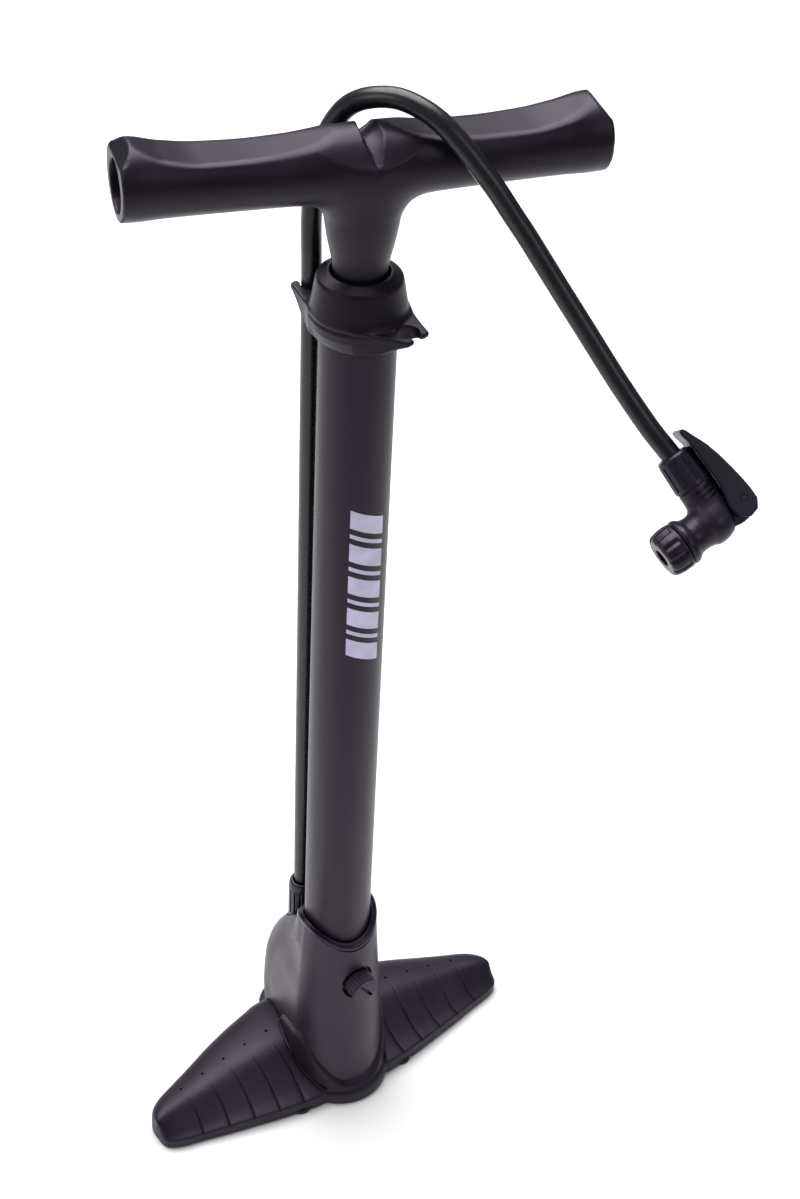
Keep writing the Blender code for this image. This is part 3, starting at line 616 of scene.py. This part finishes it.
def teardrop(half_width, front, back, back_radius, height, steps=48):
    """An outline round at the front and narrower at the back."""
    points = []
    for i in range(steps + 1):
        angle = math.pi + math.pi * i / steps
        points.append((half_width * math.cos(angle), front + half_width * (1 + math.sin(angle)), height))
    for i in range(1, SIDE_STEPS):
        t = i / SIDE_STEPS
        points.append((half_width + (back_radius - half_width) * t,
                       front + half_width + (back - back_radius - front - half_width) * t, height))
    for i in range(steps // 2 + 1):
        angle = math.pi * i / (steps // 2)
        points.append((back_radius * math.cos(angle), back - back_radius * (1 - math.sin(angle)), height))
    for i in range(1, SIDE_STEPS):
        t = 1 - i / SIDE_STEPS
        points.append((-half_width - (back_radius - half_width) * t,
                       front + half_width + (back - back_radius - front - half_width) * t, height))
    return points


def make_foot(mats):
    """Both wings and the plinth, with the tower's pocket, the pad and screw holes and ten small ones."""
    foot = make_wing(1)
    foot.name = "foot_moulding"
    plinth = block("plinth", [teardrop(r, front, back, r_back, z) for r, front, back, r_back, z in (
        (28.3, -36.3, 67.3, 20.8, 0.0), (28.9, -36.6, 67.5, 21.0, 0.6), (31.0, -36.9, 67.5, 21.0, 4.5),
        (32.6, -36.7, 67.5, 21.0, 7.6), (32.4, -36.0, 67.1, 20.6, 9.0), (31.6, -34.8, 66.1, 19.8, 10.4),
        (30.6, -33.2, 65.2, 18.9, 10.9))])
    pocket = block("pocket", [teardrop(29.2, -30.8, 62.4, 18.2, z) for z in (6.0, 9.0)]
                   + [teardrop(29.2, -30.8, 64.9, 18.2, z) for z in (30.0, 45.0)])
    combine(foot, [make_wing(-1), plinth], "UNION")
    holes = [pocket]
    for x, y in ((36.0, -20.6), (102.0, 4.0), (-36.0, -20.6), (-102.0, 4.0)):
        holes.append(rod("hole", 7.3, -1.0, 3.0, place=Matrix.Translation((x * MM, y * MM, 0))))
    for x, y in ((0.0, -24.0), (-15.8, 27.0), (15.8, 27.0)):
        at = Matrix.Translation((x * MM, y * MM, 0))
        holes.append(rod("hole", 4.2, -1.0, 4.6, place=at))
        holes.append(rod("hole", 2.5, 3.0, 8.0, place=at))
    for x, y in ((35.3, 20.4), (51.2, 19.2), (66.9, 17.8), (82.4, 16.4), (98.1, 14.5)):
        for side in (-1, 1):
            holes.append(rod("hole", 0.85, 12.0, 40.0, 16, Matrix.Translation((side * x * MM, y * MM, 0))))
    combine(foot, holes, "DIFFERENCE")
    dress(foot, mats["foot_plastic"], "pump_body", ["base_foot"], sharp=40)


# the skirt's top edge: degrees round from the front, height, thickness
SKIRT = (
    (0.0, 11.0, 2.6), (17.0, 11.8, 2.6), (30.0, 15.5, 2.4), (46.0, 24.0, 2.2), (62.0, 35.0, 2.0),
    (73.0, 43.5, 1.9), (80.0, 44.6, 1.9), (90.0, 43.2, 1.8), (116.0, 36.0, 1.7), (122.0, 31.0, 1.6),
    (127.0, 25.5, 1.5),
)


def tower_ring(height):
    half, front, back, back_r = row_at(TOWER, height)
    return teardrop(half, front, back, back_r, height)


def on_flank(turn, height, stand):
    """A point off the tower's surface: round its front to 90 degrees, then back along its flank."""
    half, front, back, back_r = row_at(TOWER, height)
    middle = front + half
    side = math.copysign(1.0, turn)
    turn = abs(turn)
    if turn <= 90.0:
        angle = math.radians(turn)
        return (side * (half + stand) * math.sin(angle), middle - (half + stand) * math.cos(angle), height)
    run = 0.7 * (turn - 90.0)
    narrowing = (half - back_r) / (back - back_r - middle)
    return (side * (half + stand - narrowing * run), middle + run, height)


def make_skirt(mats):
    """The part of the foot that climbs the tower's flanks, low at the front and high at the sides."""
    rings = []
    for turn in np.linspace(-127.0, 127.0, 161):
        top, stand = row_at(SKIRT, abs(turn))
        outside = []
        inside = []
        for z in np.linspace(6.5, top, 14):
            flare = 2.2 * max(0.0, 1 - (z - 6.5) / 12.0) ** 2
            outside.append(on_flank(turn, z, stand + flare))
            inside.append(on_flank(turn, z, -0.5))
        edge = [on_flank(turn, top + 0.5, stand - 0.25), on_flank(turn, top + 2.4, 0.15)]
        rings.append(outside + edge + [on_flank(turn, top + 2.4, -0.5)] + inside[::-1])
    skirt = block("foot_skirt", rings)
    dress(skirt, mats["foot_plastic"], "pump_body", (), sharp=40)


# the bead's route along the tread's inner edge: x, y, height
LEDGE = (
    (-26.4, 22.0, 27.4), (-28.4, 12.0, 28.0), (-29.6, 4.0, 27.2), (-29.3, -7.0, 21.2), (-27.6, -14.0, 17.2),
    (-24.9, -21.0, 13.6), (-22.0, -27.2, 10.4),
)


def make_ledges(mats):
    """The bead along each tread's inner edge."""
    for side in (-1, 1):
        route = smooth_route([(-side * x, y, z) for x, y, z in LEDGE], 1.0)
        bead = tube_along("tread_bead", route, 0.75, 12)
        dress(bead, mats["foot_plastic"], "pump_body", ())


def saddle_height(x):
    """The height of the tower's mouth, lowest at the front and back."""
    return SADDLE_LOW + SADDLE_RISE * (x / TOWER_MOUTH_R) ** 2


def make_tower(mats):
    """The tower, cut for the barrel, the gland and the plug."""
    tower = block("tower_shell", [tower_ring(z) for z in np.arange(6.3, 138.0, 1.9)])
    mouth = [(x, saddle_height(x)) for x in np.linspace(-34, 34, 69)] + [(34, 200), (-34, 200)]
    saddle = block("saddle", [[(x, y, z) for x, z in mouth] for y in (-70, 90)])
    plug_at = along((0, -1, 0), (0, 0, PLUG_Z))
    cutters = [
        saddle,
        rod("bore", 19.4, 69.7, 160.0, 96),
        rod("core", 17.5, 0.0, 66.0, 48),
        rod("back_core", 12.4, 0.0, 72.0, 48, Matrix.Translation((0, 36.0 * MM, 0))),
        rod("gland_hole", 8.8, 77.5, 150.0, 48, Matrix.Translation((0, GLAND_Y * MM, 0))),
        revolve("dish", [(7.6, 21.0), (9.2, 20.8), (12.2, 26.6), (12.2, 40.0), (7.6, 40.0)],
                96, plug_at, soft=0.4),
        rod("spot_face", 8.0, 24.3, 40.0, 64, plug_at),
        rod("plug_hole", 5.6, 10.0, 30.0, 40, plug_at),
    ]
    combine(tower, cutters, "DIFFERENCE")
    dress(tower, mats["tower_plastic"], "pump_body", ["tower_housing"], sharp=40)


def make_collar(mats):
    """The glossy double bead round the tower's saddle-shaped mouth."""
    section = ((22.3, -0.6), (23.1, 0.4), (23.25, 1.6), (22.8, 2.7), (21.9, 3.3), (21.2, 3.1), (20.9, 3.4),
               (20.7, 4.3), (20.1, 4.8), (19.45, 4.6), (19.45, 0.5), (21.0, 0.3))
    steps = 128
    rings = []
    for radius, lift in rounded(section, 0.5, 2):
        ring = []
        for i in range(steps):
            angle = 2 * math.pi * i / steps
            x = radius * math.cos(angle)
            ring.append((x, radius * math.sin(angle), saddle_height(x) + lift))
        rings.append(ring)
    collar = skin_rings("mouth_trim", rings, closed_loop=True)
    dress(collar, mats["trim_plastic"], "pump_body", ["collar_trim"], sharp=60)


# ---- valve parts that show -------------------------------------------------
def make_plug(mats):
    """The knurled pressure plug with a screwdriver slot."""
    at = along((0, -1, 0), (0, 0, PLUG_Z))
    teeth = 24

    def knurl(angle, radius, height):
        if radius < 8.35 or not 21.5 < height < 32.3:
            return 0.0
        return -0.7 * (0.5 + 0.5 * math.cos(teeth * angle)) ** 1.6

    plug = revolve("pressure_plug", [
        (0.03, 33.2), (7.7, 33.2), (8.6, 32.4), (8.6, 21.6), (8.0, 21.3), (8.0, 25.4), (4.9, 25.4),
        (4.9, 8.5), (0.03, 8.5),
    ], 288, at, knurl, 0.35)
    slot = block("slot", [[(-0.75, -7.0, z), (0.75, -7.0, z), (0.75, 7.0, z), (-0.75, 7.0, z)]
                          for z in (31.2, 36.0)], at @ Matrix.Rotation(math.radians(35), 4, "Z"))
    combine(plug, [slot], "DIFFERENCE")
    dress(plug, mats["knob_plastic"], "pressure_plug", ["valve_plug"], sharp=40)


def make_gland(mats):
    """The ribbed nut that holds the hose's lower end."""
    ribs = 14

    def ribbed(angle, radius, height):
        if radius < 7.6 or not 100.0 < height < 119.5:
            return 0.0
        return -0.7 * max(0.0, math.cos(ribs * angle)) ** 0.7

    at = Matrix.Translation((0, GLAND_Y * MM, 0))
    nut = revolve("hose_gland", [
        (8.0, 121.5), (8.0, 119.6), (8.0, 99.9), (8.0, 97.0), (5.5, 97.0), (5.5, 125.0), (6.7, 125.0),
        (7.4, 124.0),
    ], 168, at, ribbed, 0.5)
    dress(nut, mats["trim_plastic"], "pump_body", ["gland_nut"], sharp=40)


# ---- barrel and cap --------------------------------------------------------
def make_barrel(mats):
    section = [(BARREL_R, 547.0), (BARREL_R, 107.5), (17.4, 107.5), (17.4, 547.0)]
    barrel = revolve("barrel", section, 128, soft=0.3)
    dress(barrel, mats["barrel_paint"], "pump_body", ["barrel_tube"])


# the printed mark, in millimetres: five thick bars with a thin one between each two
MARK_BARS = 5
MARK_PITCH = 20.5
THICK_BAR = (337.0, 11.0)       # lowest height, thickness
THIN_BAR = (351.5, 2.5)
MARK_HALF = 9.5                 # half its width, round the barrel
MARK_COLUMNS = 14


def make_marking(mats):
    """A generic mark on the barrel: slanted bars, printed as a film 0.06 mm proud."""
    facing = math.radians(-97.0)
    points = []
    faces = []
    radius = BARREL_R + 0.06
    for k in range(2 * MARK_BARS - 1):
        low, thick = (THIN_BAR if k % 2 else THICK_BAR)
        low += MARK_PITCH * (k // 2)
        start = len(points)
        for i in range(MARK_COLUMNS + 1):
            across = -MARK_HALF + 2 * MARK_HALF * i / MARK_COLUMNS
            angle = facing + across / BARREL_R
            shift = -4.0 * across / 9.0         # the slant: 4 mm down for 9 mm round
            for z in (low + shift, low + thick + shift):
                points.append((radius * math.cos(angle), radius * math.sin(angle), z))
        for i in range(MARK_COLUMNS):
            a = start + 2 * i
            faces.append((a, a + 2, a + 3, a + 1))
    marking = link_mesh("barrel_marking", points, faces)
    dress(marking, mats["marking_ink"], "pump_body")


# the cap's section as (radius, height), then its ears: distance out, half width, underside's height
CAP_PROFILE = (
    (14.3, 560.0), (15.6, 560.2), (20.3, 557.2), (20.9, 556.0), (23.8, 539.6), (23.3, 538.4), (24.0, 536.8),
    (23.4, 532.5), (21.6, 528.4), (20.0, 526.0), (19.4, 526.0), (19.4, 550.2), (14.3, 550.2),
)
EAR = ((14.0, 19.0, 527.0), (24.0, 13.6, 529.0), (31.0, 10.2, 533.4), (38.4, 7.0, 537.2), (42.0, 5.6, 539.0))


def cap_field(p):
    """The screw cap with its two keyholed ears, in millimetres."""
    x = p[:, 0] * math.cos(CAP_TURN) + p[:, 1] * math.sin(CAP_TURN)
    y = -p[:, 0] * math.sin(CAP_TURN) + p[:, 1] * math.cos(CAP_TURN)
    z = p[:, 2]
    r = np.hypot(x, y)
    reach = np.abs(y)
    half, low = row_at(EAR, reach).T
    ear = both(np.abs(x) - half, both(z - 539.6, low - z, 1.2), 1.2)
    ear = both(ear, reach - 38.2, 1.2)
    outside = meet(outline_field(((0.0, 560.2),) + CAP_PROFILE[1:10] + ((0.0, 526.0),), r, z), ear, 3.2)
    hollow = outline_field(
        ((0.0, 570.0), (14.3, 570.0), (14.3, 550.2), (19.4, 550.2), (19.4, 515.0), (0.0, 515.0)), r, z)
    keyhole = np.hypot(x, reach - 30.8) - 5.4
    mouth = both(np.abs(x) - 2.5 - 0.11 * np.clip(reach - 30.8, 0, 20), 30.8 - reach, 0.6)
    solid = both(outside, -hollow, 0.5)
    return both(solid, -meet(keyhole, mouth, 0.8), 0.9)


def make_cap(mats):
    cap = fit_to_field("screw_cap", "top_cap", cap_field, 0.6)
    dress(cap, mats["cap_plastic"], "pump_body", ["top_cap"], sharp=60)


# ---- handle ----------------------------------------------------------------
# the notch in the hub: degrees up from the front, its left lip, valley and right rim along the grip, depth
NOTCH = (
    (-20.0, 0.4, 0.8, 1.2, 0.0), (5.0, 0.2, 0.7, 1.2, 0.0), (15.0, -0.4, 0.5, 2.2, 0.9),
    (32.0, -2.3, -0.9, 4.2, 2.3), (48.0, -3.2, -2.0, 5.4, 3.4), (66.0, -3.8, -2.6, 6.5, 4.3),
    (85.0, -3.9, -2.6, 6.3, 5.0),
    (106.0, -3.2, -2.0, 6.0, 5.6), (140.0, -2.4, -1.0, 5.0, 5.0), (175.0, 0.0, 0.6, 2.0, 0.0),
)


def notch_depth(s, y, z):
    """How deep the hub's thumb notch is: a steep left side and a scooped right side."""
    turn = np.degrees(np.arctan2(z, -y))
    lip, valley, rim, depth = row_at(NOTCH, turn).T
    left = np.clip((s - lip) / (valley - lip), 0, 1)
    right = 1 - np.clip((s - valley) / (rim - valley), 0, 1) ** 2
    return depth * np.where(s < valley, left, right)


def handle_field(p):
    """The T-handle in its own frame, in millimetres: grips, notch, stem and bores."""
    s = p[:, 0]
    y = p[:, 1]
    z = p[:, 2] - HANDLE_Z
    reach = np.abs(s)
    radius, flat, rise = row_at(GRIP, reach).T
    away = np.hypot(y, z)
    grow = 1 + notch_depth(s, y, z) / np.maximum(away, 6.0)
    up = z * grow - rise
    grip = both(np.hypot(y * grow, up) - radius, up - flat, 1.8)
    facet = (reach - 107.5) * 0.742 + (z - 20.9) * 0.670
    grip = both(grip, facet, 0.4)
    grip = both(grip, reach - 114.0, 0.7)
    stem_r = row_at(STEM, p[:, 2])[:, 0]
    stem = both(np.hypot(s, y) - stem_r, both(556.0 - p[:, 2], z - 2.0, 1.0), 1.0)
    solid = meet(grip, stem, 12.0)
    bore_r = 7.4 + (reach - 60.0) * 0.092
    bore = both(np.hypot(y, z - 0.2) - bore_r, 60.0 - reach, 1.0)
    solid = both(solid, -bore, 0.6)
    r = np.hypot(s, y)
    rod_bore = outline_field(
        ((0.0, 612.0), (8.4, 612.0), (8.4, 592.0), (5.4, 592.0), (5.4, 540.0), (0.0, 540.0)), r, p[:, 2])
    return both(solid, -rod_bore, 0.3)


def make_handle(mats):
    """The T-handle and its rod."""
    handle = fit_to_field("t_handle", "handle", handle_field, 0.72, Matrix.Rotation(HANDLE_TURN, 4, "Z"))
    dress(handle, mats["handle_plastic"], "plunger", ["handle"], sharp=60)
    bar = revolve("plunger_rod", [(0.03, 611.5), (5.0, 611.5), (5.0, 108.6), (0.03, 108.6)], 64, soft=0.3)
    dress(bar, mats["chrome_rod"], "plunger", ["piston_rod"])


# ---- head ------------------------------------------------------------------
CHUCK_PROFILE = (
    (0.0, 26.0), (8.4, 26.0), (8.4, 20.2), (11.2, 20.2), (11.7, 18.6), (11.2, 17.0), (9.5, 14.6), (9.1, 12.4),
    (9.2, 9.6), (9.8, 7.2), (10.8, 5.2), (11.1, 2.6), (10.8, -0.6), (9.6, -4.0), (7.0, -5.6), (0.0, -6.0),
)


def head_field(p):
    """The head's body in the head's frame, in millimetres: chuck, throat and the lever's lug."""
    x, y, z = p.T
    chuck = outline_field(CHUCK_PROFILE, np.hypot(y, z), x)
    throat_r = row_at(((-6.0, 5.0), (-2.0, 6.8), (6.0, 8.4), (18.2, 8.2)), z)[:, 0]
    throat = both(np.hypot(x, y) - throat_r, both(z - 18.2, -6.0 - z, 0.8), 0.8)
    lug = both(np.abs(y) - 4.2, both(np.hypot((x + 10.0) / 1.25, z + 0.9) - 8.0, x - 2.0, 1.0), 1.0)
    solid = meet(meet(chuck, throat, 3.0), lug, 1.2)
    pin = np.hypot(x + 15.2, z - 1.2) - 1.9
    chamber = outline_field(((0.0, 30.0), (6.9, 30.0), (6.9, 2.0), (2.7, 2.0), (2.7, -20.0), (0.0, -20.0)),
                            np.hypot(y, z), x)
    bore = both(np.hypot(x, y) - 2.4, -z, 0.3)
    return both(both(both(solid, -pin, 0.3), -chamber, 0.3), -bore, 0.3)


def make_head(mats):
    """The head's pieces; returns those that the hose carries."""
    at = head_frame()
    chuck_at = at @ along((1, 0, 0))
    body = fit_to_field("head_shell", "head_body", head_field, 0.45, at)
    slots = []
    for z, first, last in ((15.7, 3.1, -7.7), (13.1, 1.7, -6.9), (10.6, 0.2, -6.1)):
        turns = np.linspace(math.acos(first / 8.8), math.acos(last / 8.8), 17)
        slots.append(skin_rings("slot", [[(r * math.cos(a), r * math.sin(a), h) for r, h in (
            (7.3, z - 0.5), (12.0, z - 0.5), (12.0, z + 0.5), (7.3, z + 0.5))] for a in turns], place=at))
    combine(body, slots, "DIFFERENCE")
    dress(body, mats["head_plastic"], "piston_group", ["head_body"], sharp=45)

    def collar_ribs(angle, radius, height):
        if radius < 7.0 or not 20.5 < height < 33.5:
            return 0.0
        return -0.65 * max(0.0, math.cos(14 * angle)) ** 0.7

    collar = revolve("hose_collar", [
        (8.7, 18.6), (5.4, 18.6), (5.4, 36.2), (7.0, 36.2), (7.9, 35.2), (8.1, 33.6), (8.7, 20.4),
    ], 168, at, collar_ribs, 0.4)
    dress(collar, mats["head_plastic"], "piston_group", ["head_collar"], sharp=40)

    def cap_ribs(angle, radius, height):
        if radius < 9.0 or not 22.4 < height < 31.6:
            return 0.0
        return -0.9 * max(0.0, math.cos(10 * angle)) ** 1.5

    ring = revolve("chuck_ring", [
        (4.4, 31.4), (9.4, 31.4), (10.5, 30.6), (11.0, 29.4), (11.6, 26.0), (11.6, 22.2), (11.6, 20.7),
        (8.8, 20.7), (8.8, 26.4), (4.4, 26.4),
    ], 160, chuck_at, cap_ribs, 0.5)
    dress(ring, mats["head_plastic"], "cap_ring", ["chuck_cap"], sharp=40)

    outline = (
        (-20.6, 3.0), (-20.0, 9.0), (-18.9, 16.0), (-17.2, 25.0), (-15.2, 32.0), (-12.6, 38.0), (-10.9, 42.4),
        (-9.6, 44.0), (-7.9, 43.6), (-7.8, 41.0), (-8.8, 37.0), (-9.0, 30.0), (-9.2, 22.0), (-9.3, 13.2),
        (-8.2, 7.2), (-6.8, 1.2), (-8.2, -5.0), (-13.0, -8.2), (-18.0, -6.9), (-20.6, -2.6),
    )
    lever = block("flip_lever", [[(x, y, z) for x, z in outline] for y in (-7.2, 7.2)], at)
    hollow = ((-24.0, -12.0), (-24.0, 2.2), (-18.2, 8.6), (-17.4, 16.0), (-15.8, 25.0), (-13.6, 33.0),
              (-6.0, 36.0), (-2.0, 10.0), (-2.0, -12.0))
    hole = rod("hole", 1.9, -20.0, 20.0, 32, at @ along((0, 1, 0), (-15.2, 0, 1.2)))
    channel = block("hollow", [[(x, y, z) for x, z in hollow] for y in (-4.6, 4.6)], at)
    combine(lever, [channel], "DIFFERENCE")
    remesh(lever, 0.4)
    smooth(lever, 0.5, 12)
    combine(lever, [hole], "DIFFERENCE")
    dress(lever, mats["head_plastic"], "lever", ["thumb_lever"], sharp=50)
    return [body, collar, ring, lever]


# ---- what stays from the CAD model -----------------------------------------
def dress_cad(mats):
    """Materials for the CAD nodes that no piece stands for."""
    slots = {row["node"]: row["material_slot"] for row in frame["record"]["subparts"]}
    for name, node in frame["nodes"].items():
        if node.hide_render:
            continue
        mat = mats["blackened_steel" if name == "lever_pin" else slots[name]]
        if not node.material_slots:
            node.data.materials.append(mat)
        for place in node.material_slots:
            place.material = mat


# ---- stage -----------------------------------------------------------------
def make_stage():
    """A plain pale floor."""
    mesh = bpy.data.meshes.new("floor")
    half = 14.0
    corners = [(-half, -half, 0), (half, -half, 0), (half, half, 0), (-half, half, 0)]
    mesh.from_pydata(corners, [], [(0, 1, 2, 3)])
    floor = bpy.data.objects.new("floor", mesh)
    bpy.context.scene.collection.objects.link(floor)
    mat = bpy.data.materials.new("floor")
    mat.use_nodes = True
    shader = mat.node_tree.nodes["Principled BSDF"]
    shader.inputs["Base Color"].default_value = (0.86, 0.86, 0.86, 1)
    shader.inputs["Roughness"].default_value = 0.9
    shader.inputs["Specular IOR Level"].default_value = 0.1
    mesh.materials.append(mat)


def area_light(name, place, target, size, power):
    """A round soft light that faces its target."""
    data = bpy.data.lights.new(name, "AREA")
    data.shape = "DISK"
    data.size = size
    data.energy = power
    lamp = bpy.data.objects.new(name, data)
    lamp.location = place
    lamp.rotation_euler = (Vector(target) - Vector(place)).to_track_quat("-Z", "Y").to_euler()
    bpy.context.scene.collection.objects.link(lamp)


def make_light():
    """A dim, cool room with three soft lights."""
    world = bpy.data.worlds.new("studio")
    bpy.context.scene.world = world
    world.use_nodes = True
    world.node_tree.nodes["Background"].inputs["Color"].default_value = (0.93, 0.93, 1.0, 1)
    world.node_tree.nodes["Background"].inputs["Strength"].default_value = 0.22
    area_light("overhead", (0.15, 0.85, 2.1), (0.1, 0.45, 0.0), 2.4, 92.0)
    area_light("left", (-2.0, 0.2, 1.3), (0.0, 0.0, 0.3), 1.4, 9.0)
    area_light("front", (0.6, -2.0, 1.8), (0.0, 0.0, 0.3), 1.2, 5.0)
    bpy.context.scene.view_settings.view_transform = "Standard"


# ---- build -----------------------------------------------------------------
make_camera()
MATS = make_materials()
HOSE, HOSE_PATH, HOSE_LENGTH = make_hose(MATS)
make_foot(MATS)
make_skirt(MATS)
make_ledges(MATS)
make_tower(MATS)
make_collar(MATS)
make_plug(MATS)
make_gland(MATS)
make_barrel(MATS)
make_marking(MATS)
make_cap(MATS)
make_handle(MATS)
ON_HOSE = make_head(MATS)
dress_cad(MATS)
make_stage()
make_light()
